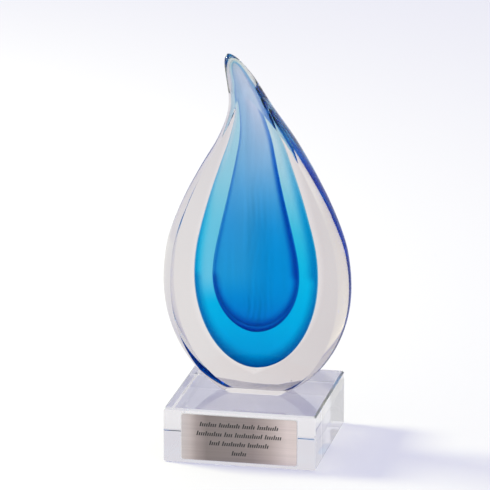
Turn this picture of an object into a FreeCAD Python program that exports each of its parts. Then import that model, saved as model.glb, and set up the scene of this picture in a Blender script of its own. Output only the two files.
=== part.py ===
import FreeCAD, Part
import math
import os

import Sketcher
from FreeCAD import Vector

# Crystal award: a drop of cased art glass, cemented to a clear block that
# carries an engraved name plate.
# Frame: millimetres, +Z up, origin at the middle of the block's underside,
# the plate on the front (-Y) side and the drop's tip leaning towards -X.

SIZES = (
    # clear block
    ("base_width", 84.0),
    ("base_depth", 86.0),
    ("base_height", 30.6),
    ("top_bevel", 1.3),
    ("edge_arris", 0.6),
    # cement film between the block and the foot of the drop
    ("bond_thickness", 0.15),
    # clear drop, measured from its ground foot; the belly is the part below
    # the widest place, and the blank is the round gather before it is ground flat
    ("drop_height", 188.3),
    ("drop_half_width", 52.2),
    ("drop_belly", 60.3),
    ("drop_thickness", 19.0),
    ("blank_half_depth", 21.0),
    ("drop_shift", 1.2),
    ("tip_lean", 15.8),
    ("lean_start", 136.8),
    # clear glass around the aqua layer
    ("clear_side", 17.8),
    ("clear_under", 13.9),
    ("clear_over", 4.3),
    ("clear_face", 1.6),
    ("aqua_belly", 51.4),
    # aqua glass around the cobalt layer
    ("aqua_side", 10.4),
    ("aqua_under", 20.2),
    ("aqua_over", 0.7),
    ("aqua_face", 1.3),
    ("cobalt_belly", 31.2),
    # cobalt glass around the heart
    ("cobalt_side", 1.0),
    ("cobalt_under", 3.0),
    ("cobalt_over", 0.7),
    ("cobalt_face", 0.6),
    # name plate, and the tape that holds it
    ("plate_width", 63.5),
    ("plate_below", 2.4),
    ("plate_above", 2.8),
    ("plate_thickness", 0.5),
    ("plate_corner", 1.0),
    ("tape_border", 0.5),
    ("tape_thickness", 0.25),
    # engraved strokes
    ("text_side", 8.2),
    ("text_edge", 2.3),
    ("stroke_width", 0.7),
    ("stroke_height", 2.6),
    ("groove_depth", 0.2),
)

# Each glass body above its widest ring, as pairs: share of the height from
# there to the tip, share of the half width.
DROP_SHOULDER = (
    (0.10, 0.985), (0.20, 0.938), (0.35, 0.797), (0.50, 0.608), (0.63, 0.418),
    (0.735, 0.275), (0.81, 0.203), (0.89, 0.153), (0.95, 0.106), (0.985, 0.057),
)
AQUA_SHOULDER = (
    (0.09, 0.982), (0.18, 0.928), (0.35, 0.768), (0.52, 0.572), (0.67, 0.380),
    (0.77, 0.242), (0.84, 0.180), (0.90, 0.131), (0.95, 0.098), (0.985, 0.062),
)
CORE_SHOULDER = (
    (0.09, 0.960), (0.18, 0.870), (0.35, 0.674), (0.53, 0.478), (0.68, 0.335),
    (0.79, 0.242), (0.86, 0.186), (0.91, 0.130), (0.955, 0.099), (0.985, 0.062),
)
# Below its widest ring each body is half an ellipse. These are its rings, in
# degrees down from the widest one: the drop ends at its ground foot, and the
# inner bodies end close to the pole.
BELLY_ANGLES = (60.0, 44.0, 28.0, 14.0, 0.0)
FOOT_ANGLE = 71.0
POLE_ANGLE = 86.0
LEAN_POWER = 1.8
PRESS_POWER = 4

# Number of strokes in each word of the engraved rows, from the top.
ROWS = ((8, 10, 6, 10), (12, 4, 13, 8), (5, 11, 10), (7,))
TALL_EVERY = 4
SHORT_STROKE = 0.7
STROKE_SLANT = math.radians(14.0)

# Levels and radii of the glass bodies, each tied to the body around it.
FOOT = "(Sizes.base_height + Sizes.bond_thickness)"
DROP = {
    "bottom": FOOT,
    "widest": f"({FOOT} + Sizes.drop_belly)",
    "top": f"({FOOT} + Sizes.drop_height)",
    "half_width": "Sizes.drop_half_width",
    "flatness": "Sizes.blank_half_depth",
    "end_angle": FOOT_ANGLE,
    "shoulder": DROP_SHOULDER,
}
AQUA_BOTTOM = f"({FOOT} + Sizes.clear_under)"
AQUA = {
    "bottom": AQUA_BOTTOM,
    "widest": f"({AQUA_BOTTOM} + Sizes.aqua_belly)",
    "top": f"({DROP['top']} - Sizes.clear_over)",
    "half_width": f"({DROP['half_width']} - Sizes.clear_side)",
    "flatness": "(Sizes.drop_thickness / 2 - Sizes.clear_face)",
    "end_angle": POLE_ANGLE,
    "shoulder": AQUA_SHOULDER,
}
COBALT_BOTTOM = f"({AQUA_BOTTOM} + Sizes.aqua_under)"
COBALT = {
    "bottom": COBALT_BOTTOM,
    "widest": f"({COBALT_BOTTOM} + Sizes.cobalt_belly)",
    "top": f"({AQUA['top']} - Sizes.aqua_over)",
    "half_width": f"({AQUA['half_width']} - Sizes.aqua_side)",
    "flatness": f"({AQUA['flatness']} - Sizes.aqua_face)",
    "end_angle": POLE_ANGLE,
    "shoulder": CORE_SHOULDER,
}
HEART = {
    "bottom": f"({COBALT_BOTTOM} + Sizes.cobalt_under)",
    "widest": COBALT["widest"],
    "top": f"({COBALT['top']} - Sizes.cobalt_over)",
    "half_width": f"({COBALT['half_width']} - Sizes.cobalt_side)",
    "flatness": f"({COBALT['flatness']} - Sizes.cobalt_face)",
    "end_angle": POLE_ANGLE,
    "shoulder": CORE_SHOULDER,
}
PLATE_HEIGHT = "(Sizes.base_height - Sizes.plate_below - Sizes.plate_above)"
PLATE_MIDDLE = f"(Sizes.plate_below + {PLATE_HEIGHT} / 2)"


def make_sheet(doc):
    """The driving dimensions, each in a cell with an alias."""
    sheet = doc.addObject("Spreadsheet::Sheet", "Sizes")
    for row, (alias, value) in enumerate(SIZES, start=1):
        sheet.set(f"A{row}", str(value))
        sheet.setAlias(f"A{row}", alias)
    doc.recompute()
    return sheet


def value_of(sheet, expression):
    """The number that an expression of the sheet's cells comes to."""
    return float(sheet.evalExpression(expression))


def origin_plane(body, role):
    """The body's own origin plane that has this role."""
    for feature in body.Origin.OriginFeatures:
        if feature.Role == role:
            return feature
    raise ValueError("the body has no plane " + role)


def edge_names(shape, wanted):
    """The names of the shape's edges for which wanted(middle, direction) is true."""
    names = []
    for number, edge in enumerate(shape.Edges, start=1):
        start = edge.Vertexes[0].Point
        end = edge.Vertexes[-1].Point
        if wanted((start + end) / 2, (end - start).normalize()):
            names.append(f"Edge{number}")
    return names


def rectangle(body, name, role, width, height, offsets):
    """A sketched rectangle about an origin plane's middle, set off by expressions."""
    sketch = body.newObject("Sketcher::SketchObject", name)
    sketch.AttachmentSupport = [(origin_plane(body, role), "")]
    sketch.MapMode = "FlatFace"
    for axis, offset in offsets.items():
        sketch.setExpression("AttachmentOffset.Base." + axis, offset)
    corners = (Vector(-1, -1, 0), Vector(1, -1, 0), Vector(1, 1, 0), Vector(-1, 1, 0))
    for side in range(4):
        sketch.addGeometry(Part.LineSegment(corners[side], corners[(side + 1) % 4]))
    for side in range(4):
        sketch.addConstraint(Sketcher.Constraint("Coincident", side, 2, (side + 1) % 4, 1))
        way = "Vertical" if side % 2 else "Horizontal"
        sketch.addConstraint(Sketcher.Constraint(way, side))
    sketch.addConstraint(Sketcher.Constraint("Symmetric", 0, 1, 1, 2, -1, 1))
    for side, label, expression in ((0, "width", width), (1, "height", height)):
        place = sketch.addConstraint(Sketcher.Constraint("Distance", side, 2.0))
        sketch.renameConstraint(place, label)
        sketch.setExpression("Constraints." + label, expression)
    return sketch


def pad(body, name, sketch, length):
    """The sketch pushed out along its normal."""
    feature = body.newObject("PartDesign::Pad", name)
    feature.Profile = (sketch, [""])
    feature.setExpression("Length", length)
    return feature


def base_block(doc):
    """The clear block, with a polished bevel round its top and fine arrises elsewhere."""
    body = doc.addObject("PartDesign::Body", "base_block")
    outline = rectangle(body, "block_outline", "XY_Plane", "Sizes.base_width", "Sizes.base_depth", {})
    block = pad(body, "block", outline, "Sizes.base_height")
    doc.recompute()
    top = block.Shape.BoundBox.ZMax

    bevel = body.newObject("PartDesign::Chamfer", "top_bevel")
    bevel.Base = (block, edge_names(block.Shape, lambda middle, _: middle.z > top - 1e-6))
    bevel.setExpression("Size", "Sizes.top_bevel")
    doc.recompute()

    upright = edge_names(bevel.Shape, lambda _, direction: abs(direction.z) > 0.999)
    bottom = edge_names(bevel.Shape, lambda middle, _: middle.z < 1e-6)
    arris = body.newObject("PartDesign::Chamfer", "edge_arris")
    arris.Base = (bevel, upright + bottom)
    arris.setExpression("Size", "Sizes.edge_arris")
    return body


def belly_rise(angle, end_angle):
    """Share of the belly's height at a ring so many degrees below the widest one."""
    return 1.0 - math.sin(math.radians(angle)) / math.sin(math.radians(end_angle))


def axis_shift(sheet, height):
    """Where the leaning axis stands along X at a height, as an expression."""
    above = value_of(sheet, f"{height} - {FOOT} - Sizes.lean_start")
    whole = value_of(sheet, "Sizes.drop_height - Sizes.lean_start")
    share = max(0.0, above / whole) ** LEAN_POWER
    return f"Sizes.drop_shift - Sizes.tip_lean * {share:.5f}"


def glass_ring(doc, sheet, name, height, half_width, flatness):
    """A level cross-section: an ellipse that flattens as it grows past the flatness."""
    section = doc.addObject("Part::Ellipse", name)
    section.setExpression("MajorRadius", half_width)
    narrowing = f"pow(1 + pow({half_width} / {flatness}; {PRESS_POWER}); 1 / {PRESS_POWER})"
    section.setExpression("MinorRadius", f"{half_width} / {narrowing}")
    section.setExpression("Placement.Base.x", axis_shift(sheet, height))
    section.setExpression("Placement.Base.z", height)
    return section


def glass_form(doc, sheet, name, form):
    """A solid drop: level rings from its bottom up, lofted to a closed tip."""
    below = f"({form['widest']} - {form['bottom']})"
    over = f"({form['top']} - {form['widest']})"
    places = []
    for angle in (form["end_angle"],) + BELLY_ANGLES:
        rise = belly_rise(angle, form["end_angle"])
        places.append((f"({form['bottom']} + {below} * {rise:.5f})", math.cos(math.radians(angle))))
    for rise, width in form["shoulder"]:
        places.append((f"({form['widest']} + {over} * {rise})", width))

    sections = []
    for number, (height, width) in enumerate(places):
        half_width = f"({form['half_width']} * {width:.5f})"
        ring_name = f"{name}_ring_{number}"
        sections.append(glass_ring(doc, sheet, ring_name, height, half_width, form["flatness"]))
    tip = doc.addObject("Part::Vertex", name + "_tip")
    tip.setExpression("Placement.Base.x", axis_shift(sheet, form["top"]))
    tip.setExpression("Placement.Base.z", form["top"])

    loft = doc.addObject("Part::Loft", name)
    loft.Sections = sections + [tip]
    loft.Solid = True
    loft.Ruled = False
    return loft


def grinding_slab(doc):
    """The space between the two ground faces of the drop, and of the film under it."""
    slab = doc.addObject("Part::Box", "grinding_slab")
    slab.setExpression("Length", "4 * Sizes.drop_half_width")
    slab.setExpression("Width", "Sizes.drop_thickness")
    slab.setExpression("Height", "2 * Sizes.drop_height")
    slab.setExpression("Placement.Base.x", "-2 * Sizes.drop_half_width")
    slab.setExpression("Placement.Base.y", "-Sizes.drop_thickness / 2")
    slab.setExpression("Placement.Base.z", "Sizes.base_height")
    return slab


def common(doc, name, base, tool):
    """What two solids share."""
    feature = doc.addObject("Part::Common", name)
    feature.Base = base
    feature.Tool = tool
    return feature


def cut(doc, name, base, tool):
    """The first solid without the second."""
    feature = doc.addObject("Part::Cut", name)
    feature.Base = base
    feature.Tool = tool
    return feature


def uv_bond(doc, foot_ring, slab):
    """The film of clear cement between the drop's ground foot and the block."""
    film = doc.addObject("Part::Extrusion", "bond_film")
    film.Base = foot_ring
    film.Dir = Vector(0, 0, -1)
    film.setExpression("LengthFwd", "Sizes.bond_thickness")
    film.Solid = True
    return common(doc, "uv_bond", film, slab)


def drop_layers(doc, sheet):
    """The drop's four glasses, each in the hollow of the next, and its cement film."""
    slab = grinding_slab(doc)
    blank = glass_form(doc, sheet, "drop_blank", DROP)
    aqua = glass_form(doc, sheet, "aqua_form", AQUA)
    cobalt = glass_form(doc, sheet, "cobalt_form", COBALT)
    heart = glass_form(doc, sheet, "heart_glass", HEART)
    ground = common(doc, "ground_drop", blank, slab)
    return [
        uv_bond(doc, blank.Sections[0], slab),
        cut(doc, "clear_casing", ground, aqua),
        cut(doc, "aqua_layer", aqua, cobalt),
        cut(doc, "cobalt_layer", cobalt, heart),
        heart,
    ]


def front_sheet(doc, name, width, height, behind, thickness):
    """A thin sheet with rounded corners, stood on the block's front."""
    body = doc.addObject("PartDesign::Body", name)
    offsets = {"y": PLATE_MIDDLE, "z": behind}
    outline = rectangle(body, name + "_outline", "XZ_Plane", width, height, offsets)
    sheet_pad = pad(body, name + "_pad", outline, thickness)
    doc.recompute()
    corners = body.newObject("PartDesign::Fillet", name + "_corners")
    corners.Base = (sheet_pad, edge_names(sheet_pad.Shape, lambda _, way: abs(way.y) > 0.999))
    corners.setExpression("Radius", "Sizes.plate_corner")
    return body


def stroke(left, foot, width, height, depth):
    """One slanted stroke, cut straight in from the plate's face."""
    lean = height * math.tan(STROKE_SLANT)
    corners = [
        Vector(left, 0, foot),
        Vector(left + width, 0, foot),
        Vector(left + width + lean, 0, foot + height),
        Vector(left + lean, 0, foot + height),
    ]
    outline = Part.makePolygon(corners + corners[:1])
    return Part.Face(outline).extrude(Vector(0, depth, 0))


def engraving_fill(doc, sheet):
    """Paint in rows of plain slanted strokes, grouped like words."""
    slots_in_row = [sum(words) + len(words) - 1 for words in ROWS]
    text_width = value_of(sheet, "Sizes.plate_width - 2 * Sizes.text_side")
    slot = text_width / max(slots_in_row)
    row_pitch = value_of(sheet, f"({PLATE_HEIGHT} - 2 * Sizes.text_edge)") / len(ROWS)
    first_row = value_of(sheet, f"{PLATE_HEIGHT} / 2 - Sizes.text_edge") - row_pitch / 2
    width = value_of(sheet, "Sizes.stroke_width")
    tall = value_of(sheet, "Sizes.stroke_height")
    depth = value_of(sheet, "Sizes.groove_depth")

    strokes = []
    for row, words in enumerate(ROWS):
        foot = first_row - row * row_pitch - tall / 2
        place = -slots_in_row[row] * slot / 2
        for count in words:
            for number in range(count):
                height = tall if number % TALL_EVERY == 0 else tall * SHORT_STROKE
                strokes.append(stroke(place, foot, width, height, depth))
                place += slot
            place += slot

    fill = doc.addObject("Part::Feature", "engraving_fill")
    fill.Shape = Part.makeCompound(strokes)
    face = value_of(sheet, "Sizes.base_depth / 2 + Sizes.tape_thickness + Sizes.plate_thickness")
    fill.Placement.Base = Vector(0, -face, value_of(sheet, PLATE_MIDDLE))
    return fill


def name_plate_parts(doc, sheet):
    """The tape on the block's front, the plate on it, and the paint in the plate's strokes."""
    tape = front_sheet(
        doc, "plate_tape",
        "Sizes.plate_width + 2 * Sizes.tape_border",
        f"{PLATE_HEIGHT} + 2 * Sizes.tape_border",
        "Sizes.base_depth / 2",
        "Sizes.tape_thickness",
    )
    blank = front_sheet(
        doc, "plate_blank",
        "Sizes.plate_width",
        PLATE_HEIGHT,
        "Sizes.base_depth / 2 + Sizes.tape_thickness",
        "Sizes.plate_thickness",
    )
    fill = engraving_fill(doc, sheet)
    return [tape, cut(doc, "name_plate", blank, fill), fill]


def failures(doc, parts):
    """What is wrong with the document, as lines of text."""
    found = []
    for item in doc.Objects:
        if "Invalid" in item.State or "Error" in item.State:
            found.append(f"{item.Name} is {item.State}")
    for part in parts:
        if part.Shape.isNull() or not part.Shape.isValid() or not part.Shape.Solids:
            found.append(f"{part.Label} has no valid solid")
    return found


def main():
    doc = FreeCAD.newDocument("crystal_award")
    sheet = make_sheet(doc)
    parts = [base_block(doc)] + drop_layers(doc, sheet) + name_plate_parts(doc, sheet)
    doc.recompute()

    problems = failures(doc, parts)
    if problems:
        raise RuntimeError("; ".join(problems))
    os.makedirs("parts", exist_ok=True)
    for part in parts:
        shape = part.Shape
        box = shape.BoundBox
        shape.exportStep(os.path.join("parts", part.Label + ".step"))
        print(
            f"{part.Label}: {len(shape.Solids)} solid(s), {shape.Volume:.1f} mm3,",
            f"Z {box.ZMin:.2f} to {box.ZMax:.2f}",
        )


main()
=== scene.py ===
# %% [markdown]
# # An art glass award, piece by piece
# The award is a drop of cased glass: a blue heart in a cobalt skin, in an aqua ring, in thick
# clear glass. It is cemented to a clear block that carries a brushed name plate. Glass is the
# whole subject, so most cells are about shapes that bend light well and about materials that
# colour it. The CAD model is the frame: it says where everything goes, and every new piece fits
# in it.

# %% Load the frame
import math

import bmesh
import bpy
from mathutils import Matrix, Vector


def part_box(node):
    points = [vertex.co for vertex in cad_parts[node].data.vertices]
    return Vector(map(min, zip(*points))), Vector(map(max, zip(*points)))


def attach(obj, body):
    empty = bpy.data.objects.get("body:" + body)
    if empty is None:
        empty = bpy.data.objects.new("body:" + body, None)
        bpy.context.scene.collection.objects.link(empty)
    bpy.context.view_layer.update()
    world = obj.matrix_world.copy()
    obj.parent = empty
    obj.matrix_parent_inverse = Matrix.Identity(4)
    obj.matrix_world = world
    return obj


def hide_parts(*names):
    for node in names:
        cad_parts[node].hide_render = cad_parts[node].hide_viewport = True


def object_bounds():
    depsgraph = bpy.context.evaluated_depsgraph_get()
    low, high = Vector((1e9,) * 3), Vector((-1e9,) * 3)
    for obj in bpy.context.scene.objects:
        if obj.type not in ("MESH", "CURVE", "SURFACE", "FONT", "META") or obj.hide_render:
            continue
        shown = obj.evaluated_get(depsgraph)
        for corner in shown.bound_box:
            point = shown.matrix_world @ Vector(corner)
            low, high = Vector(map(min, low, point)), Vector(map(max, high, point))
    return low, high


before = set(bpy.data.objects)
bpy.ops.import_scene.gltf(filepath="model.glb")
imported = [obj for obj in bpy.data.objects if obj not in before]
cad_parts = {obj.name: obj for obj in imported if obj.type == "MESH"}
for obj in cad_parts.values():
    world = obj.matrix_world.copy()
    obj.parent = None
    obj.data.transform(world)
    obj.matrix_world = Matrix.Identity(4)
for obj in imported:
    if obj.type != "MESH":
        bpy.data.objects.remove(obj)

cad_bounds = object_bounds()
scene = bpy.context.scene
MM = 0.001
print("nodes:", sorted(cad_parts))

# %% [markdown]
# ## Sizes from the frame
# The levels of the foot, the tips and the faces are read from the boxes of the CAD nodes, so the
# glass here can't drift away from the model that it stands for.

# %% Read the sizes
block_low, block_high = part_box("base_block")
drop_low, drop_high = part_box("clear_casing")
aqua_low, aqua_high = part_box("aqua_layer")
cobalt_low, cobalt_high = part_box("cobalt_layer")
heart_low, heart_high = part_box("heart_glass")
plate_low, plate_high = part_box("name_plate")
BLOCK_WIDTH = block_high.x - block_low.x
FOOT_Z = drop_low.z
TIP_Z = drop_high.z
THICKNESS = drop_high.y - drop_low.y
print("drop", round((TIP_Z - FOOT_Z) / MM, 1), "mm tall,", round(THICKNESS / MM, 1), "mm thick")

# %% [markdown]
# ## Camera
# A product is usually taken with a long lens from some way off, which keeps upright edges
# parallel. The camera stands a little to the right of the front and looks down a little.
# It could be placed by hand; here two angles and a distance give the same view each run.

# %% Camera
CAMERA_AZIMUTH = math.radians(11.58)
CAMERA_ELEVATION = math.radians(15.88)
CAMERA_DISTANCE = 30.0 * BLOCK_WIDTH
CAMERA_SIDE = -0.065 * BLOCK_WIDTH
CAMERA_RISE = 1.290 * BLOCK_WIDTH
CAMERA_LENS = 336.0
SENSOR_WIDTH = 36.0
CLIP_END = 50.0


def add_camera():
    """A long lens that looks down on the award from the right."""
    camera = bpy.data.objects.new("Camera", bpy.data.cameras.new("Camera"))
    scene.collection.objects.link(camera)
    cos_up = math.cos(CAMERA_ELEVATION)
    back = Vector((
        math.sin(CAMERA_AZIMUTH) * cos_up,
        -math.cos(CAMERA_AZIMUTH) * cos_up,
        math.sin(CAMERA_ELEVATION),
    ))
    right = Vector((math.cos(CAMERA_AZIMUTH), math.sin(CAMERA_AZIMUTH), 0.0))
    up = back.cross(right)
    turn = Matrix((right, up, back)).transposed().to_4x4()
    place = back * CAMERA_DISTANCE + right * CAMERA_SIDE + up * CAMERA_RISE
    camera.matrix_world = Matrix.Translation(place) @ turn
    camera.data.lens = CAMERA_LENS
    camera.data.sensor_width = SENSOR_WIDTH
    camera.data.clip_end = CLIP_END
    scene.camera = camera
    return camera


camera = add_camera()
print("camera", round(camera.location.length, 2), "m away")

# %% [markdown]
# ## Studio
# Clear glass has hardly a look of its own: it shows what is around it. An even white surround
# makes it glow, and one square lamp at the upper left gives its edges their bright lines and
# throws the shadow. The light passes through many walls, so the number of bounces is raised;
# with too few, thick glass turns black.

# %% Bounces and surround
SURROUND_COLOUR = (0.97, 0.97, 1.0)
SURROUND_STRENGTH = 0.90
GLASS_BOUNCES = 48
scene.view_settings.view_transform = "Standard"
scene.cycles.max_bounces = GLASS_BOUNCES
scene.cycles.transmission_bounces = GLASS_BOUNCES
scene.cycles.glossy_bounces = 16
scene.cycles.diffuse_bounces = 4
scene.cycles.sample_clamp_indirect = 4.0

world = bpy.data.worlds.new("Studio")
world.use_nodes = True
background = world.node_tree.nodes["Background"]
background.inputs["Color"].default_value = (*SURROUND_COLOUR, 1.0)
background.inputs["Strength"].default_value = SURROUND_STRENGTH
scene.world = world
print("surround at strength", SURROUND_STRENGTH)

# %% Key light
AWARD_MIDDLE = Vector((0.0, 0.0, 0.11))
KEY_PLACE = Vector((-1.1, 0.15, 0.75))
KEY_SIZE = 0.4
KEY_POWER = 37.0
KEY_COLOUR = (1.0, 1.0, 0.56)


def add_key_light():
    """A square area light that faces the middle of the award."""
    light = bpy.data.lights.new("Key", "AREA")
    light.shape = "RECTANGLE"
    light.size = light.size_y = KEY_SIZE
    light.energy = KEY_POWER
    light.color = KEY_COLOUR
    lamp = bpy.data.objects.new("Key", light)
    scene.collection.objects.link(lamp)
    aim = (AWARD_MIDDLE - KEY_PLACE).to_track_quat("-Z", "Y")
    lamp.matrix_world = Matrix.Translation(KEY_PLACE) @ aim.to_matrix().to_4x4()


add_key_light()
print("key light", round((AWARD_MIDDLE - KEY_PLACE).length, 2), "m away")

# %% [markdown]
# ## Floor
# The floor is a plain pale sheet. It glows a little, as a lit table does, so the shadow stays
# soft and blue. It lies a hair under the block, because two faces in one plane would flicker.

# %% Floor
FLOOR_REACH = 6.0
FLOOR_DROP = 0.2 * MM
FLOOR_COLOUR = (0.30, 0.30, 0.30, 1.0)
FLOOR_GLOW = (0.42, 0.42, 0.56, 1.0)


def floor_material():
    """Pale and matt, with a light of its own."""
    material = bpy.data.materials.new("pale_floor")
    material.use_nodes = True
    shader = material.node_tree.nodes["Principled BSDF"]
    shader.inputs["Base Color"].default_value = FLOOR_COLOUR
    shader.inputs["Emission Color"].default_value = FLOOR_GLOW
    shader.inputs["Emission Strength"].default_value = 1.0
    shader.inputs["Roughness"].default_value = 0.9
    shader.inputs["Specular IOR Level"].default_value = 0.1
    return material


def add_floor():
    """A wide flat sheet under the block."""
    bm = bmesh.new()
    bmesh.ops.create_grid(bm, x_segments=1, y_segments=1, size=FLOOR_REACH)
    bmesh.ops.translate(bm, verts=bm.verts, vec=(0.0, 0.0, -FLOOR_DROP))
    mesh = bpy.data.meshes.new("Floor")
    bm.to_mesh(mesh)
    bm.free()
    mesh.materials.append(floor_material())
    floor = bpy.data.objects.new("Floor", mesh)
    scene.collection.objects.link(floor)


add_floor()
print("floor", 2 * FLOOR_REACH, "m across")

# %% [markdown]
# ## The outline of a gathered drop
# Hot glass is gathered on a pipe, swung, and pulled off at the tip. Below its widest place each
# layer hangs as half an ellipse; above it the glass thins in a long S. A few pairs along the
# shoulder, share of the height and share of the half width, describe that S, and a smooth curve
# through them does the rest. Reading the curve against the square root of the distance from the
# tip keeps the tip round: in that measure a round end is a straight line.

# %% Shoulders
DROP_SHOULDER = (
    (0.0, 1.0), (0.10, 0.985), (0.20, 0.938), (0.35, 0.797), (0.50, 0.608), (0.63, 0.418),
    (0.735, 0.275), (0.81, 0.203), (0.89, 0.153), (0.95, 0.106), (0.985, 0.057), (1.0, 0.0),
)
AQUA_SHOULDER = (
    (0.0, 1.0), (0.09, 0.982), (0.18, 0.928), (0.35, 0.768), (0.52, 0.572), (0.67, 0.380),
    (0.77, 0.242), (0.84, 0.180), (0.90, 0.131), (0.95, 0.098), (0.985, 0.062), (1.0, 0.0),
)
CORE_SHOULDER = (
    (0.0, 1.0), (0.09, 0.960), (0.18, 0.870), (0.35, 0.674), (0.53, 0.478), (0.68, 0.335),
    (0.79, 0.242), (0.86, 0.186), (0.91, 0.130), (0.955, 0.099), (0.985, 0.062), (1.0, 0.0),
)
print("shoulders of", len(DROP_SHOULDER), "pairs")

# %% Outline of a glass body
OPEN_END = 89.9
OUTLINE_STEPS = 30


def smooth_curve(pairs, x):
    """A smooth curve through pairs in rising x."""
    last = len(pairs) - 1
    i = 0
    while i < last - 1 and x > pairs[i + 1][0]:
        i += 1
    (x0, y0), (x1, y1) = pairs[i], pairs[i + 1]

    def slope(j):
        before = pairs[max(j - 1, 0)]
        after = pairs[min(j + 1, last)]
        return (after[1] - before[1]) / (after[0] - before[0])

    step = x1 - x0
    t = (x - x0) / step
    return (
        (2 * t**3 - 3 * t**2 + 1) * y0 + (t**3 - 2 * t**2 + t) * slope(i) * step
        + (3 * t**2 - 2 * t**3) * y1 + (t**3 - t**2) * slope(i + 1) * step
    )


def shoulder_width(shoulder, share):
    """Share of the half width at a share of the height above the widest ring."""
    pairs = sorted((math.sqrt(1.0 - rise), width) for rise, width in shoulder)
    before = (-pairs[1][0], -pairs[1][1])
    after = (2.0 - pairs[-2][0], pairs[-2][1])
    return max(0.0, smooth_curve([before, *pairs, after], math.sqrt(1.0 - share)))


def half_outline(
    bottom, widest, top, half_width, shoulder, end_angle=OPEN_END, steps=OUTLINE_STEPS,
):
    """Points (radius, height) from the bottom of a glass body to its tip."""
    end = math.radians(end_angle)
    points = []
    for i in range(steps):
        angle = end * (1 - i / steps)
        height = widest - (widest - bottom) * math.sin(angle) / math.sin(end)
        points.append((half_width * math.cos(angle), height))
    for i in range(2 * steps + 1):
        share = math.sin(i / (2 * steps) * math.pi / 2) ** 2
        radius = half_width * shoulder_width(shoulder, share)
        points.append((radius, widest + (top - widest) * share))
    return points


print("half way up, the drop keeps", round(shoulder_width(DROP_SHOULDER, 0.5), 2), "of its width")

# %% [markdown]
# ## Four glass bodies
# The blank of the drop and the three gathers in it differ only in a few sizes. The belly is how
# high the widest place is above the bottom, and the flatness is half the depth that pressing
# leaves. The drop's outline stops at the foot, where it has been ground away.

# %% Sizes of the glass
DROP_WIDEST = FOOT_Z + 60.3 * MM
DROP_HALF_WIDTH = 52.2 * MM
FOOT_ANGLE = 71.0
DROP_STEPS = 40
BLANK_FLATNESS = 21.0 * MM
AQUA_SIZE = {"belly": 51.4 * MM, "half_width": 34.4 * MM, "flatness": 7.9 * MM}
COBALT_SIZE = {"belly": 31.2 * MM, "half_width": 24.0 * MM, "flatness": 6.6 * MM}
HEART_SIZE = {"belly": 28.2 * MM, "half_width": 23.0 * MM, "flatness": 6.0 * MM}
for body, low, high, shoulder in (
    (AQUA_SIZE, aqua_low, aqua_high, AQUA_SHOULDER),
    (COBALT_SIZE, cobalt_low, cobalt_high, CORE_SHOULDER),
    (HEART_SIZE, heart_low, heart_high, CORE_SHOULDER),
):
    body.update(bottom=low.z, top=high.z, widest=low.z + body["belly"], shoulder=shoulder)
drop_outline = half_outline(
    FOOT_Z, DROP_WIDEST, TIP_Z, DROP_HALF_WIDTH, DROP_SHOULDER, FOOT_ANGLE, DROP_STEPS,
)


def layer_outline(size, gap=0.0):
    """The outline of one gather, smaller all round by a gap."""
    return half_outline(
        size["bottom"] + gap, size["widest"], size["top"] - gap,
        size["half_width"] - gap, size["shoulder"],
    )


aqua_outline = layer_outline(AQUA_SIZE)
print("drop outline of", len(drop_outline), "points, aqua outline of", len(aqua_outline))

# %% [markdown]
# ## From an outline to a body
# The outline is spun round into a blank. While it is soft the blank is pressed flat between
# paddles, so each point's depth is squeezed towards a limit, and the pull at the end leans the
# tip over. Each vertex also keeps how far across the body it sat, from -1 at the left rim to 1 at
# the right one, because glass looks deepest in colour at its rims and a material can read that.

# %% Press and lean
LEAN_START = FOOT_Z + 136.8 * MM
TIP_LEAN = 15.8 * MM
LEAN_POWER = 1.8
AXIS_X = 1.2 * MM
PRESS_POWER = 4


def axis_x(height):
    """Where the leaning axis stands at a height."""
    share = max(0.0, (height - LEAN_START) / (TIP_Z - LEAN_START))
    return AXIS_X - TIP_LEAN * share**LEAN_POWER


def press(verts, flatness):
    """Squeezes the depth of round glass towards a limit."""
    for v in verts:
        radius = math.hypot(v.co.x, v.co.y)
        v.co.y /= (1.0 + (radius / flatness) ** PRESS_POWER) ** (1.0 / PRESS_POWER)


print("the tip leans", round((axis_x(FOOT_Z) - axis_x(TIP_Z)) / MM, 1), "mm to the left")

# %% Spin a body
ACROSS = "across"
AROUND = 128
DROP_AROUND = 256
MERGE = 0.002 * MM
ON_AXIS = 0.01 * MM


def spun_body(outline, flatness, around=AROUND):
    """A glass body: its half outline spun round, pressed flat and leant over."""
    bm = bmesh.new()
    chain = [bm.verts.new((0.0, 0.0, outline[0][1]))]
    chain += [bm.verts.new((radius, 0.0, height)) for radius, height in outline]
    edges = [bm.edges.new(pair) for pair in zip(chain, chain[1:])]
    bmesh.ops.spin(
        bm, geom=chain + edges, cent=(0, 0, 0), axis=(0, 0, 1),
        angle=math.tau, steps=around, use_merge=True,
    )
    bmesh.ops.remove_doubles(bm, verts=bm.verts, dist=MERGE)
    across = bm.verts.layers.float.new(ACROSS)
    for v in bm.verts:
        radius = math.hypot(v.co.x, v.co.y)
        v[across] = v.co.x / radius if radius > ON_AXIS else 0.0
    press(bm.verts, flatness)
    for v in bm.verts:
        v.co.x += axis_x(v.co.z)
    bmesh.ops.recalc_face_normals(bm, faces=bm.faces)
    return bm


print("bodies spun in", AROUND, "steps, the drop in", DROP_AROUND)

# %% [markdown]
# ## Hollows and finished pieces
# A hollow is one more body, turned inside out and put in the same mesh, so the glass lies
# between the two skins. Its faces take the second material, because light crosses that wall in
# another way than the outside. Every piece is finished alike: smooth shading everywhere but on
# edges that are really sharp, and the CAD node that it stands for is hidden.

# %% Hollow and finish
TOUCHING = 1
SHARP = math.radians(28)


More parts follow.
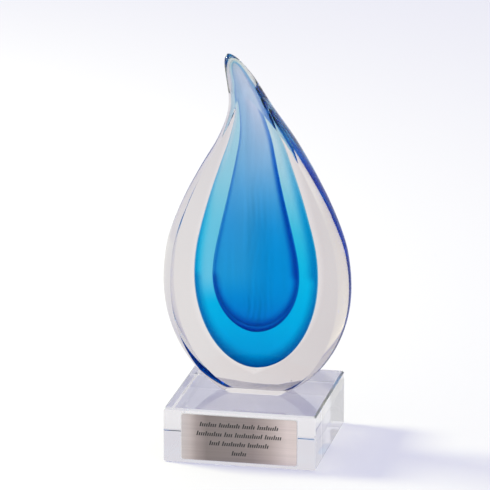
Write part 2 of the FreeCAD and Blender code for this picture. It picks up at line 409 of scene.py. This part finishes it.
def add_hollow(bm, hollow):
    """Adds a hollow to a body: a second skin that faces inwards, in the touching wall."""
    bmesh.ops.reverse_faces(hollow, faces=hollow.faces)
    for face in hollow.faces:
        face.material_index = TOUCHING
    skin = bpy.data.meshes.new("hollow")
    hollow.to_mesh(skin)
    hollow.free()
    bm.from_mesh(skin)
    bpy.data.meshes.remove(skin)


def finish_piece(bm, name, materials, node, sharp=SHARP):
    """The bmesh as a named piece that stands for a CAD node, smooth but for its sharp edges."""
    for face in bm.faces:
        face.smooth = True
    for edge in bm.edges:
        if len(edge.link_faces) == 2 and edge.calc_face_angle(0.0) > sharp:
            edge.smooth = False
    mesh = bpy.data.meshes.new(name)
    bm.to_mesh(mesh)
    bm.free()
    for material in materials:
        mesh.materials.append(material)
    piece = bpy.data.objects.new(name, mesh)
    scene.collection.objects.link(piece)
    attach(piece, "root")
    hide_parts(node)
    print(name, len(mesh.polygons), "faces")
    return piece


print("edges over", round(math.degrees(SHARP)), "degrees stay sharp")

# %% [markdown]
# ## Glass materials
# Clear glass is the Principled shader with full transmission and an IOR near 1.5. Where two
# glasses touch, light hardly bends, because their IORs are nearly the same; it would if each
# body were modelled as glass in air. So the wall of a hollow has an IOR of 1, which lets light
# straight through, and the coloured body inside has an IOR just above it, which draws only a fine
# line at its rim. Real colour grows with the way through the glass. A volume would do that
# slowly and with noise; a tint on the skin, deeper at the rim, looks the same and bakes.

# %% Materials and colours
def new_material(name):
    """A material, its node tree and its shader."""
    material = bpy.data.materials.new(name)
    material.use_nodes = True
    return material, material.node_tree, material.node_tree.nodes["Principled BSDF"]


def srgb(red, green, blue):
    """A screen colour as the shader's linear colour."""
    def linear(value):
        value /= 255.0
        return value / 12.92 if value <= 0.04045 else ((value + 0.055) / 1.055) ** 2.4
    return (linear(red), linear(green), linear(blue), 1.0)


print("a screen grey of 128 is", round(srgb(128, 128, 128)[0], 3), "to the shader")

# %% Nodes, ramps and ranges
def add_node(tree, kind, inputs=None, **settings):
    """A node with its settings and its plain input values."""
    node = tree.nodes.new(kind)
    for key, value in settings.items():
        setattr(node, key, value)
    for key, value in (inputs or {}).items():
        node.inputs[key].default_value = value
    return node


def add_ramp(tree, factor, stops, blending="LINEAR"):
    """A colour ramp through (position, colour) stops."""
    ramp = add_node(tree, "ShaderNodeValToRGB")
    ramp.color_ramp.interpolation = blending
    elements = ramp.color_ramp.elements
    for number, (position, colour) in enumerate(stops):
        element = elements[number] if number < 2 else elements.new(position)
        element.position = position
        element.color = colour
    tree.links.new(factor, ramp.inputs["Fac"])
    return ramp.outputs["Color"]


def map_range(tree, value, low, high, to_low=0.0, to_high=1.0, soft=False):
    """A value mapped from one range to another."""
    node = add_node(tree, "ShaderNodeMapRange", {
        "From Min": low, "From Max": high, "To Min": to_low, "To Max": to_high,
    })
    if soft:
        node.interpolation_type = "SMOOTHSTEP"
    tree.links.new(value, node.inputs["Value"])
    return node.outputs["Result"]


print("helpers for nodes, ramps and ranges")

# %% Sums and mixes
def math_node(tree, operation, *values):
    """A maths node on sockets and plain numbers."""
    node = add_node(tree, "ShaderNodeMath", operation=operation)
    for number, value in enumerate(values):
        if isinstance(value, (int, float)):
            node.inputs[number].default_value = value
        else:
            tree.links.new(value, node.inputs[number])
    return node.outputs[0]


def mix_colour(tree, factor, first, second, blend="MIX"):
    """Two colours mixed by a factor; each may be a socket or a plain colour."""
    node = add_node(tree, "ShaderNodeMix", data_type="RGBA", blend_type=blend)
    for key, value in (("Factor", factor), ("A", first), ("B", second)):
        if isinstance(value, bpy.types.NodeSocket):
            tree.links.new(value, node.inputs[key])
        else:
            node.inputs[key].default_value = value
    return node.outputs["Result"]


def shaded(tree, colour, value):
    """A colour multiplied by one value."""
    grey = add_node(tree, "ShaderNodeCombineColor")
    for channel in ("Red", "Green", "Blue"):
        tree.links.new(value, grey.inputs[channel])
    if colour is None:
        return grey.outputs["Color"]
    return mix_colour(tree, 1.0, colour, grey.outputs["Color"], "MULTIPLY")


print("helpers for sums and mixes")

# %% Noise, bump and glass
GLASS_SHEEN = (0.05, 0.30, 0.40, 1.0)
NOISE_LOW = 0.3
NOISE_HIGH = 0.7


def object_place(tree):
    """The piece's own coordinates, whole and split."""
    place = add_node(tree, "ShaderNodeTexCoord").outputs["Object"]
    split = add_node(tree, "ShaderNodeSeparateXYZ")
    tree.links.new(place, split.inputs[0])
    return place, split.outputs


def object_noise(tree, scale, detail=3.0, stretch=(1.0, 1.0, 1.0)):
    """Noise on the piece's own coordinates, stretched along an axis if need be."""
    place = add_node(tree, "ShaderNodeTexCoord")
    mapping = add_node(tree, "ShaderNodeMapping", {"Scale": stretch})
    noise = add_node(tree, "ShaderNodeTexNoise", {"Scale": scale, "Detail": detail})
    tree.links.new(place.outputs["Object"], mapping.inputs["Vector"])
    tree.links.new(mapping.outputs["Vector"], noise.inputs["Vector"])
    return noise.outputs["Fac"]


def spread(tree, noise, low, high):
    """Noise, which hardly leaves its middle, spread over a range."""
    return map_range(tree, noise, NOISE_LOW, NOISE_HIGH, low, high)


def add_bump(tree, shader, height, distance, strength=1.0):
    """A bump on the shader's normal."""
    bump = add_node(tree, "ShaderNodeBump", {"Distance": distance, "Strength": strength})
    tree.links.new(height, bump.inputs["Height"])
    tree.links.new(bump.outputs["Normal"], shader.inputs["Normal"])


def set_glass(shader, ior):
    """Full transmission at an IOR. The cool sheen keeps a red veil off the tinted skins."""
    shader.inputs["Roughness"].default_value = 0.0
    shader.inputs["IOR"].default_value = ior
    shader.inputs["Transmission Weight"].default_value = 1.0
    shader.inputs["Specular Tint"].default_value = GLASS_SHEEN


print("helpers for noise, bump and glass")

# %% [markdown]
# ### Clear glass
# The casing is soda crystal: clear, with the faintest pink grey cast through its whole depth, and
# a touch of green in the thin pulled tip, where the pontil iron cooled it. Hot worked glass is
# never quite even, so slow noise varies the tint and a very low bump makes the skin wander.
# The ring of clear glass alone looks greyer than the skin over the layers, so the tint has to
# know where the layers lie. A painted mask could say so; a ramp along the height needs no image.

# %% Where the layers lie
WINDOW_STEPS = 24
WINDOW_LOW = 0.05
WINDOW_HIGH = 0.99
WINDOW_OUTSIDE = -2.5 * MM
WINDOW_INSIDE = 1.5 * MM
WIDTH_SPAN = 60 * MM
WIDTH_OFFSET = 15 * MM
AXIS_SPAN = 40 * MM


def aqua_width_at(height):
    """Half width of the aqua layer at a height, below nothing past its ends."""
    if height <= aqua_outline[0][1]:
        return height - aqua_outline[0][1]
    if height >= aqua_outline[-1][1]:
        return aqua_outline[-1][1] - height
    for (r0, h0), (r1, h1) in zip(aqua_outline, aqua_outline[1:]):
        if h0 <= height <= h1:
            return r0 + (r1 - r0) * (height - h0) / (h1 - h0)


def layers_window(tree, split, level):
    """1 over the aqua layer and 0 over the clear ring.

    A ramp along the height keeps the layer's half width in its red and its axis in its green.
    """
    stops = []
    for i in range(WINDOW_STEPS):
        share = WINDOW_LOW + (WINDOW_HIGH - WINDOW_LOW) * i / (WINDOW_STEPS - 1)
        height = FOOT_Z + (TIP_Z - FOOT_Z) * share
        width = (aqua_width_at(height) + WIDTH_OFFSET) / WIDTH_SPAN
        axis = axis_x(height) / AXIS_SPAN + 0.5
        stops.append((share, (max(width, 0.0), axis, 0.0, 1.0)))
    parts = add_node(tree, "ShaderNodeSeparateColor")
    tree.links.new(add_ramp(tree, level, stops), parts.inputs["Color"])
    width = math_node(tree, "MULTIPLY_ADD", parts.outputs["Red"], WIDTH_SPAN, -WIDTH_OFFSET)
    axis = math_node(tree, "MULTIPLY_ADD", parts.outputs["Green"], AXIS_SPAN, -AXIS_SPAN / 2)
    off_axis = math_node(tree, "ABSOLUTE", math_node(tree, "SUBTRACT", split["X"], axis))
    inside = math_node(tree, "SUBTRACT", width, off_axis)
    return map_range(tree, inside, WINDOW_OUTSIDE, WINDOW_INSIDE, soft=True)


print("at its widest the aqua is", round(2 * aqua_width_at(AQUA_SIZE["widest"]) / MM), "mm wide")

# %% Clear glass
CLEAR_IOR = 1.5
NO_BEND = 1.0
# The ring is tinted lighter on its left, towards the lamp, and darker on its right: painted light
# and shade.
RING_LIT_LEFT = (0.71, 0.68, 0.69, 1.0)
RING_SHADED_RIGHT = (0.64, 0.60, 0.615, 1.0)
RING_SPAN = 40 * MM
OVER_LAYERS = (0.80, 0.77, 0.785, 1.0)
TIP_GREEN = (0.60, 0.70, 0.66, 1.0)
TIP_START = 0.93
CLEAR_CLOUD = 25.0
WALL_CLOUD = 60.0
SKIN_WAVES = 45.0
SKIN_STRETCH = (1.0, 1.0, 0.4)
SKIN_DEPTH = 0.03 * MM


def clear_glass_material():
    """Clear glass: a grey ring with painted light on its left, lighter over the layers, and a
    green tip.
    """
    material, tree, shader = new_material("clear_glass")
    split = object_place(tree)[1]
    level = map_range(tree, split["Z"], FOOT_Z, TIP_Z)
    # Painted light and shade: the ring pales towards the left and darkens towards the right.
    side = map_range(tree, split["X"], -RING_SPAN, RING_SPAN, soft=True)
    ring = mix_colour(tree, side, RING_LIT_LEFT, RING_SHADED_RIGHT)
    tint = mix_colour(tree, layers_window(tree, split, level), ring, OVER_LAYERS)
    tip = map_range(tree, level, TIP_START, 1.0, soft=True)
    tint = mix_colour(tree, tip, tint, TIP_GREEN)
    cloud = spread(tree, object_noise(tree, CLEAR_CLOUD), 0.97, 1.0)
    tree.links.new(shaded(tree, tint, cloud), shader.inputs["Base Color"])
    add_bump(tree, shader, object_noise(tree, SKIN_WAVES, 1.0, SKIN_STRETCH), SKIN_DEPTH)
    set_glass(shader, CLEAR_IOR)
    return material


def touching_wall_material():
    """The wall of a hollow that is full of glass: light goes straight on."""
    material, tree, shader = new_material("touching_wall")
    cloud = spread(tree, object_noise(tree, WALL_CLOUD), 0.992, 1.0)
    tree.links.new(shaded(tree, None, cloud), shader.inputs["Base Color"])
    set_glass(shader, NO_BEND)
    return material


clear_glass = clear_glass_material()
touching_wall = touching_wall_material()
print("made", clear_glass.name, "and", touching_wall.name)

# %% [markdown]
# ### Coloured glass
# Each colour runs from strong at the belly to pale at the pulled tip, where the layer has been
# drawn thin. One ramp along the height gives the colour of the face and a second one the colour
# of the rim. Above the widest place the kept distance across the body mixes the two. Below it
# the rim curves under like a bowl, so there an oval distance from the widest place does. Two
# marks are painted light: a paler patch on the left side of each layer stands for light caught
# there, and a fine pale line painted at the very edge stands for the highlight where one glass
# meets the next. Streaks along the pull and a faint watermark of waves stop it from looking like
# plastic.

# %% Where the rim is
RIM_SHIFT = 0.055
BOWL_BLEND = 2 * MM


def rim_distances(tree, split, across, size):
    """How far out a point is: plainly across, and with the bowl below the widest place."""
    outward = math_node(tree, "ABSOLUTE", math_node(tree, "ADD", across, RIM_SHIFT))
    rise = math_node(tree, "SUBTRACT", split["Z"], size["widest"])
    down = math_node(tree, "DIVIDE", math_node(tree, "MINIMUM", rise, 0.0), size["belly"])
    off_axis = math_node(tree, "SUBTRACT", split["X"], axis_x(size["widest"]))
    off_axis = math_node(tree, "DIVIDE", off_axis, size["half_width"])
    squares = [math_node(tree, "POWER", value, 2.0) for value in (off_axis, down)]
    bowl = math_node(tree, "SQRT", math_node(tree, "ADD", *squares))
    low = map_range(tree, rise, BOWL_BLEND, -BOWL_BLEND)
    high = math_node(tree, "SUBTRACT", 1.0, low)
    bowl = math_node(tree, "MULTIPLY", bowl, low)
    plain = math_node(tree, "MULTIPLY", outward, high)
    return outward, math_node(tree, "ADD", bowl, plain)


print("the rims are read", RIM_SHIFT, "to the left, as seen from a little to the right")

# %% Painted light, painted edge line and waves
PAINTED_LIGHT_RIGHT = 0.25
PAINTED_LIGHT_LEFT = -0.45
WAVES = {"Scale": 95.0, "Distortion": 14.0, "Detail": 1.0, "Detail Scale": 0.35}
WAVES_ACROSS = (0.55, 0.1)
WAVES_UP = (0.68, 0.50)


def add_painted_light(tree, colour, across, outward, level, painted_light):
    """Painted light: the left side of a layer is painted paler, away from its rim."""
    left = map_range(tree, across, PAINTED_LIGHT_RIGHT, PAINTED_LIGHT_LEFT, soft=True)
    inner = map_range(tree, outward, painted_light["outer"], painted_light["inner"], soft=True)
    high = map_range(tree, level, *painted_light["levels"], soft=True)
    amount = math_node(tree, "MULTIPLY", math_node(tree, "MULTIPLY", left, inner), high)
    amount = math_node(tree, "MULTIPLY", amount, painted_light["amount"])
    return mix_colour(tree, amount, colour, srgb(*painted_light["colour"]))


def add_painted_edge_line(tree, colour, depth, outline, flatness):
    """Painted highlight: a fine pale line where the body is thinnest from front to back."""
    thin = math_node(tree, "ABSOLUTE", depth)
    until, start = outline["until"] * flatness, outline["from"] * flatness
    edge = map_range(tree, thin, until, start, soft=True)
    edge = math_node(tree, "MULTIPLY", edge, outline["amount"])
    return mix_colour(tree, edge, colour, srgb(*outline["colour"]))


def wave_marks(tree, place, across, level, strength):
    """A watermark of waves down the middle of a body, fading out towards its tip."""
    wave = add_node(tree, "ShaderNodeTexWave", WAVES)
    tree.links.new(place, wave.inputs["Vector"])
    middle = map_range(tree, math_node(tree, "ABSOLUTE", across), *WAVES_ACROSS, soft=True)
    lower = map_range(tree, level, *WAVES_UP, soft=True)
    middle = math_node(tree, "MULTIPLY", middle, lower)
    trough = math_node(tree, "MULTIPLY", middle, wave.outputs["Fac"])
    return map_range(tree, trough, 0.0, 1.0, 1.0, 1.0 - strength)


print("helpers for the veil, the outline and the waves")

# %% Layered glass
LAYER_IOR = 1.02
HEART_IOR = 1.005
WANDER = 0.012
WANDER_SCALE = 22.0
STREAK_SCALE = 300.0
STREAK_STRETCH = (1.0, 1.0, 0.06)
LAYER_WAVES = 60.0
LAYER_STRETCH = (1.0, 1.0, 0.3)
LAYER_DEPTH = 0.05 * MM


def height_ramp(tree, level, stops):
    """A smooth run of screen colours up the height."""
    stops = [(share, srgb(*colour)) for share, colour in stops]
    return add_ramp(tree, level, stops, "B_SPLINE")


def layered_glass(
    name, face_stops, rim_stops, rim_range, size, painted_light, outline, ior=LAYER_IOR, waves=0.0,
):
    """Colour by height, deeper at the rims, with painted light at left and a painted edge
    highlight.
    """
    material, tree, shader = new_material(name)
    place, split = object_place(tree)
    across = add_node(tree, "ShaderNodeAttribute", attribute_name=ACROSS).outputs["Fac"]
    wander = spread(tree, object_noise(tree, WANDER_SCALE, 2.0), -WANDER, WANDER)
    level = math_node(tree, "ADD", map_range(tree, split["Z"], FOOT_Z, TIP_Z), wander)
    outward, away = rim_distances(tree, split, across, size)
    depth = map_range(tree, away, *rim_range, soft=True)
    face = height_ramp(tree, level, face_stops)
    colour = mix_colour(tree, depth, face, height_ramp(tree, level, rim_stops))
    # Painted light: the left side of each layer is painted paler, as if lit there.
    colour = add_painted_light(tree, colour, across, outward, level, painted_light)
    # Painted highlight: a fine pale line painted where the body is thinnest, at its rim.
    colour = add_painted_edge_line(tree, colour, split["Y"], outline, size["flatness"])
    streaks = object_noise(tree, STREAK_SCALE, 2.0, STREAK_STRETCH)
    streaks = spread(tree, streaks, 0.95, 1.0)
    if waves:
        ripple = wave_marks(tree, place, across, level, waves)
        streaks = math_node(tree, "MULTIPLY", streaks, ripple)
    tree.links.new(shaded(tree, colour, streaks), shader.inputs["Base Color"])
    add_bump(tree, shader, object_noise(tree, LAYER_WAVES, 2.0, LAYER_STRETCH), LAYER_DEPTH)
    set_glass(shader, ior)
    return material


print("the layers bend light by", LAYER_IOR, "and the heart by", HEART_IOR)

# %% The three colours
HEART_WAVES = 0.16
# In each call the dict after the size is painted light on the left side, and the next a painted
# highlight along the rim.
aqua_glass = layered_glass(
    "aqua_glass",
    ((0.08, (0, 160, 235)), (0.20, (0, 190, 253)), (0.36, (0, 204, 253)),
     (0.50, (40, 208, 247)), (0.62, (150, 226, 249)), (0.76, (206, 236, 248)),
     (0.92, (248, 250, 254))),
    ((0.08, (0, 92, 170)), (0.20, (0, 108, 192)), (0.34, (0, 135, 208)), (0.48, (0, 150, 220)),
     (0.60, (10, 175, 236)), (0.75, (150, 218, 243)), (0.92, (240, 248, 253))),
    (0.82, 0.985), AQUA_SIZE,
    {"outer": 0.90, "inner": 0.74, "levels": (0.26, 0.36), "amount": 0.5,
     "colour": (150, 228, 250)},
    {"until": 0.22, "from": 0.12, "amount": 0.85, "colour": (228, 242, 250)},
)
cobalt_glass = layered_glass(
    "cobalt_glass",
    ((0.18, (60, 202, 238)), (0.30, (130, 234, 252)), (0.50, (160, 216, 249)),
     (0.70, (222, 236, 255)), (0.92, (246, 246, 255))),
    ((0.18, (90, 45, 165)), (0.26, (50, 75, 180)), (0.34, (20, 118, 200)), (0.48, (0, 126, 212)),
     (0.60, (0, 128, 214)), (0.75, (65, 138, 226)), (0.92, (212, 224, 250))),
    (0.84, 0.985), COBALT_SIZE,
    {"outer": 0.7, "inner": 0.2, "levels": (0.25, 0.4), "amount": 0.15,
     "colour": (230, 235, 250)},
    {"until": 0.15, "from": 0.07, "amount": 0.8, "colour": (120, 205, 245)},
)
heart_blue = layered_glass(
    "heart_blue",
    ((0.18, (100, 205, 240)), (0.30, (160, 233, 252)), (0.50, (186, 222, 251)),
     (0.70, (240, 243, 255)), (0.92, (250, 248, 255))),
    ((0.18, (130, 120, 200)), (0.26, (100, 145, 215)), (0.34, (80, 165, 226)),
     (0.48, (80, 170, 230)), (0.60, (85, 168, 233)), (0.75, (135, 180, 242)),
     (0.92, (230, 234, 251))),
    (0.80, 0.985), HEART_SIZE,
    {"outer": 0.6, "inner": 0.1, "levels": (0.25, 0.4), "amount": 0.35,
     "colour": (235, 235, 250)},
    {"until": 0.10, "from": 0.02, "amount": 0.3, "colour": (170, 215, 245)},
    ior=HEART_IOR, waves=HEART_WAVES,
)
print("made", aqua_glass.name, cobalt_glass.name, heart_blue.name)

# %% [markdown]
# ## The clear drop
# The casing starts as a blank like the layers, only much thicker than the finished drop. Once
# cold, both faces are ground flat and polished, which is what makes the layers show so crisply.
# Two planes cut the blank here as the wheel does, and the cut edges get the small arris that
# stops them from chipping. Its hollow is the outside of the aqua layer. The foot is ground flat
# too and cemented, so it also lets light straight on into the block.

# %% The clear drop
ARRIS = 0.35 * MM
CUT_REACH = 1e-7
CUT_MERGE = 0.02 * MM


def bevel(bm, edges, offset, segments):
    """Eases edges by an offset."""
    bmesh.ops.bevel(
        bm, geom=edges, offset=offset, offset_type="OFFSET", segments=segments, profile=0.5,
        affect="EDGES", material=-1, clamp_overlap=True,
    )


def grind_faces(bm):
    """Cuts both faces flat and eases their edges."""
    for side in (-1, 1):
        cut = bmesh.ops.bisect_plane(
            bm, geom=bm.verts[:] + bm.edges[:] + bm.faces[:], dist=CUT_REACH,
            plane_co=(0, side * THICKNESS / 2, 0), plane_no=(0, side, 0), clear_outer=True,
        )
        rim = {v for v in cut["geom_cut"] if isinstance(v, bmesh.types.BMVert)}
        bmesh.ops.remove_doubles(bm, verts=list(rim), dist=CUT_MERGE)
        bmesh.ops.holes_fill(bm, edges=[e for e in bm.edges if e.is_boundary], sides=0)
    bmesh.ops.recalc_face_normals(bm, faces=bm.faces)
    edges = [e for e in bm.edges if len(e.link_faces) == 2 and e.calc_face_angle(0.0) > SHARP]
    bevel(bm, edges, ARRIS, 2)


drop = spun_body(drop_outline, BLANK_FLATNESS, DROP_AROUND)
grind_faces(drop)
print("ground drop of", len(drop.faces), "faces")

# %% Foot, hollow and seeds
SEED_STRETCH = (1.0, 0.8, 1.5)
SEEDS = (((2.6, -3.0, 203.0), 0.9), ((21.5, -5.0, 38.8), 0.5))
LEVEL_REACH = 0.01 * MM
DOWNWARDS = -0.99


def add_seed(bm, place, size):
    """A seed: a tiny bubble of air caught in the glass, a skin that faces inwards."""
    made = bmesh.ops.create_icosphere(bm, subdivisions=2, radius=size / 2)
    bmesh.ops.scale(bm, verts=made["verts"], vec=SEED_STRETCH)
    bmesh.ops.translate(bm, verts=made["verts"], vec=place)
    bmesh.ops.reverse_faces(bm, faces=list({f for v in made["verts"] for f in v.link_faces}))


for face in drop.faces:
    if face.normal.z < DOWNWARDS and face.calc_center_median().z < FOOT_Z + LEVEL_REACH:
        face.material_index = TOUCHING
add_hollow(drop, spun_body(aqua_outline, AQUA_SIZE["flatness"]))
for place, size in SEEDS:
    add_seed(drop, Vector(place) * MM, size * MM)
clear_drop = finish_piece(drop, "clear_drop", [clear_glass, touching_wall], "clear_casing")

# %% [markdown]
# ## The coloured layers
# Three gathers sit one in another. Each could be a solid body, but then they would share space,
# which real glass can't. So each is a skin with its own hollow, and the next body fills that
# hollow but for a hair, because two skins in one place would flicker.

# %% The coloured layers
GAP = 0.05 * MM


def layer_body(size, gap=0.0):
    """The body of one gather, smaller all round by a gap."""
    return spun_body(layer_outline(size, gap), size["flatness"] - gap)


aqua_body = layer_body(AQUA_SIZE, GAP)
add_hollow(aqua_body, layer_body(COBALT_SIZE))
aqua_ring = finish_piece(aqua_body, "aqua_ring", [aqua_glass, touching_wall], "aqua_layer")

cobalt_body = layer_body(COBALT_SIZE, GAP)
add_hollow(cobalt_body, layer_body(HEART_SIZE))
cobalt_skin = finish_piece(
    cobalt_body, "cobalt_skin", [cobalt_glass, touching_wall], "cobalt_layer",
)

heart_body = layer_body(HEART_SIZE, GAP)
heart_drop = finish_piece(heart_body, "heart_drop", [heart_blue], "heart_glass")

# %% [markdown]
# ## The block
# The block is sawn from clear crystal and polished on all six faces, with a wide bevel round the
# top and a fine arris on the other edges. The bevel is ground but left a little satin; its tint
# is also whiter than the block's, a painted highlight that makes it glow, where a full polish
# would mirror dark dashes; both slopes are real geometry. Where the drop is cemented on, the two
# are one piece of glass for the light. So the top face is split along the foot's outline, and
# that patch lets the light straight through; without it the foot would mirror like a pool.

# %% Glass of the block
BLOCK_IOR = 1.52
BLOCK_TINTS = ((0.3, (0.79, 0.78, 0.82, 1.0)), (0.7, (0.83, 0.82, 0.855, 1.0)))
# The bevel's tints are whiter than the block's: a painted highlight on top of the real satin
# finish.
SLOPE_HIGHLIGHT_TINTS = ((0.3, (0.93, 0.94, 0.97, 1.0)), (0.7, (0.97, 0.98, 1.0, 1.0)))
SLOPE_ROUGHNESS = (0.26, 0.36)
BLOCK_CLOUD = 30.0
SLOPE_CLOUD = 60.0


def crystal_material(name, cloud_scale, tints, roughness=None):
    """Crystal with a cool, slightly clouded cast, polished or satin."""
    material, tree, shader = new_material(name)
    cloud = object_noise(tree, cloud_scale)
    tree.links.new(add_ramp(tree, cloud, tints, "EASE"), shader.inputs["Base Color"])
    set_glass(shader, BLOCK_IOR)
    if roughness:
        tree.links.new(spread(tree, cloud, *roughness), shader.inputs["Roughness"])
    return material


block_glass = crystal_material("block_glass", BLOCK_CLOUD, BLOCK_TINTS)
satin_slope_highlight = crystal_material("satin_slope_highlight", SLOPE_CLOUD, SLOPE_HIGHLIGHT_TINTS, SLOPE_ROUGHNESS)
print("made", block_glass.name, "and", satin_slope_highlight.name)

# %% Sawn and eased
TOP_BEVEL = 1.3 * MM
EDGE_ARRIS = 0.6 * MM
EASED_SHARP = math.radians(15)
STEEP = 0.3
GENTLE = 0.95
LEVEL = 0.99
SATIN = 2
HAIR = 1e-6


def eased_block():
    """A cube cut to size, with its arrises and its top bevel, and without its top face."""
    bm = bmesh.new()
    bmesh.ops.create_cube(bm, size=1.0)
    bmesh.ops.scale(bm, verts=bm.verts, vec=block_high - block_low)
    bmesh.ops.translate(bm, verts=bm.verts, vec=(block_high + block_low) / 2)

    def on_top(edge):
        return all(v.co.z > block_high.z - HAIR for v in edge.verts)

    bevel(bm, [e for e in bm.edges if not on_top(e)], EDGE_ARRIS, 1)
    bevel(bm, [e for e in bm.edges if on_top(e)], TOP_BEVEL, 1)
    for face in bm.faces:
        if STEEP < face.normal.z < GENTLE:
            face.material_index = SATIN
    top = [f for f in bm.faces if f.normal.z > LEVEL]
    bmesh.ops.delete(bm, geom=top, context="FACES_ONLY")
    return bm


block_body = eased_block()
print("eased block of", len(block_body.faces), "faces")

# %% Top with the foot's patch
FOOT_STEPS = 256


def foot_outline(bm):
    """The outline of the drop's foot, on the block's top face."""
    ring = bmesh.ops.create_circle(bm, segments=FOOT_STEPS, radius=drop_outline[0][0])["verts"]
    press(ring, BLANK_FLATNESS)
    half = THICKNESS / 2 - HAIR
    for v in ring:
        v.co.y = max(-half, min(half, v.co.y))
    bmesh.ops.translate(bm, verts=ring, vec=(AXIS_X, 0.0, block_high.z))
    return list({e for v in ring for e in v.link_edges})


def open_edges(bm):
    """How many edges don't join just two faces."""
    return sum(1 for e in bm.edges if not e.is_manifold)


rim = [e for e in block_body.edges if e.is_boundary]
ring_edges = foot_outline(block_body)
bmesh.ops.triangle_fill(
    block_body, edges=rim + ring_edges, use_beauty=True, normal=(0, 0, 1),
)
patch = bmesh.ops.contextual_create(block_body, geom=ring_edges)["faces"]
for face in patch:
    face.material_index = TOUCHING
bmesh.ops.recalc_face_normals(block_body, faces=block_body.faces)
print("open edges in the block:", open_edges(block_body))
crystal_block = finish_piece(
    block_body, "crystal_block", [block_glass, touching_wall, satin_slope_highlight], "base_block",
    EASED_SHARP,
)

# %% [markdown]
# ## The cement film
# Clear cement cured with ultraviolet light joins the drop and the block in a film of about a
# seventh of a millimetre. Three skins in one plane would trap the light between them, so the film
# is drawn a hair thinner than its room on both sides. It is the foot's outline, extruded.

# %% The cement film
FILM_CLEARANCE = 0.02 * MM
FILM_TINTS = ((0.3, (0.985, 0.98, 0.97, 1.0)), (0.7, (1.0, 1.0, 0.99, 1.0)))
FILM_CLOUD = 150.0


def cement_material():
    """Cured cement: clear, barely warm, with no bend of its own."""
    material, tree, shader = new_material("clear_cement")
    tint = add_ramp(tree, object_noise(tree, FILM_CLOUD), FILM_TINTS)
    tree.links.new(tint, shader.inputs["Base Color"])
    set_glass(shader, NO_BEND)
    return material


film = bmesh.new()
film_face = bmesh.ops.contextual_create(film, geom=foot_outline(film))["faces"]
bmesh.ops.translate(film, verts=film.verts, vec=(0.0, 0.0, FILM_CLEARANCE))
raised = bmesh.ops.extrude_face_region(film, geom=film_face, use_keep_orig=True)["geom"]
raised = [v for v in raised if isinstance(v, bmesh.types.BMVert)]
film_height = FOOT_Z - block_high.z - 2 * FILM_CLEARANCE
bmesh.ops.translate(film, verts=raised, vec=(0.0, 0.0, film_height))
bmesh.ops.recalc_face_normals(film, faces=film.faces)
print("open edges in the film:", open_edges(film))
cement_film = finish_piece(film, "cement_film", [cement_material()], "uv_bond")

# %% [markdown]
# ## Pieces that keep their CAD shape
# The plate, its tape and the paint in the engraving have the right shape already, so they only
# get better materials. The plate is steel brushed along its length: noise stretched fifty times
# along X gives the grain, and it drives the roughness and a fine bump. A ramp along the plate
# gives the soft bands of light that brushed metal shows.

# %% Brushed plate
PLATE_SHEEN = (
    (0.0, (212, 204, 204)), (0.07, (204, 193, 191)), (0.13, (174, 162, 160)),
    (0.22, (144, 134, 132)), (0.48, (150, 140, 138)), (0.62, (158, 146, 144)),
    (0.77, (190, 176, 173)), (0.92, (230, 216, 213)), (1.0, (233, 219, 215)),
)
GRAIN_TINTS = ((0.25, (0.82, 0.82, 0.82, 1.0)), (0.75, (1.0, 1.0, 1.0, 1.0)))
GRAIN_SCALE = 900.0
ALONG_GRAIN = (0.02, 1.0, 1.0)
GRAIN_DEPTH = 0.01 * MM


def dress(node, material):
    """Gives a CAD node a new material."""
    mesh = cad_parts[node].data
    mesh.materials.clear()
    mesh.materials.append(material)
    print(node, "wears", material.name)


def brushed_steel_material():
    """Steel brushed along X, darker and warmer in the middle."""
    material, tree, shader = new_material("brushed_steel")
    grain = object_noise(tree, GRAIN_SCALE, 4.0, ALONG_GRAIN)
    along = map_range(tree, object_place(tree)[1]["X"], plate_low.x, plate_high.x)
    sheen = add_ramp(tree, along, [(share, srgb(*colour)) for share, colour in PLATE_SHEEN])
    dark = add_ramp(tree, grain, GRAIN_TINTS)
    colour = mix_colour(tree, 1.0, sheen, dark, "MULTIPLY")
    tree.links.new(colour, shader.inputs["Base Color"])
    shader.inputs["Metallic"].default_value = 0.85
    shader.inputs["Anisotropic"].default_value = 0.6
    tree.links.new(map_range(tree, grain, 0.2, 0.8, 0.34, 0.5), shader.inputs["Roughness"])
    add_bump(tree, shader, grain, GRAIN_DEPTH, 0.6)
    return material


dress("name_plate", brushed_steel_material())

# %% [markdown]
# ## Tape and paint
# The tape is white foam, which shows as a thin pale border, so its pores matter more than its
# colour. The paint is matt black and was wiped into the engraving by hand, so its tone and its
# roughness wander a little.

# %% Tape and paint
TAPE_TINTS = ((0.3, (0.72, 0.72, 0.75, 1.0)), (0.6, (0.86, 0.86, 0.88, 1.0)))
PORE_SCALE = 2500.0
PORE_DEPTH = 0.03 * MM
WIPE_SCALE = 1200.0
PAINT_TINTS = ((0.3, (0.006, 0.006, 0.007, 1.0)), (0.7, (0.02, 0.02, 0.022, 1.0)))


def tape_material():
    """White foam tape, with the small pores of the foam."""
    material, tree, shader = new_material("foam_tape")
    pores = object_noise(tree, PORE_SCALE, 2.0)
    tree.links.new(add_ramp(tree, pores, TAPE_TINTS), shader.inputs["Base Color"])
    shader.inputs["Roughness"].default_value = 0.8
    add_bump(tree, shader, pores, PORE_DEPTH)
    return material


def paint_material():
    """Black fill, a little rough and uneven where it was wiped."""
    material, tree, shader = new_material("fill_paint")
    wipe = object_noise(tree, WIPE_SCALE, 3.0)
    tree.links.new(add_ramp(tree, wipe, PAINT_TINTS), shader.inputs["Base Color"])
    tree.links.new(spread(tree, wipe, 0.45, 0.65), shader.inputs["Roughness"])
    return material


dress("plate_tape", tape_material())
dress("engraving_fill", paint_material())

# %% [markdown]
# ## Finish
# The box of the CAD model, measured when the frame was loaded, is taken up again here.

# %% Finish
low, high = cad_bounds
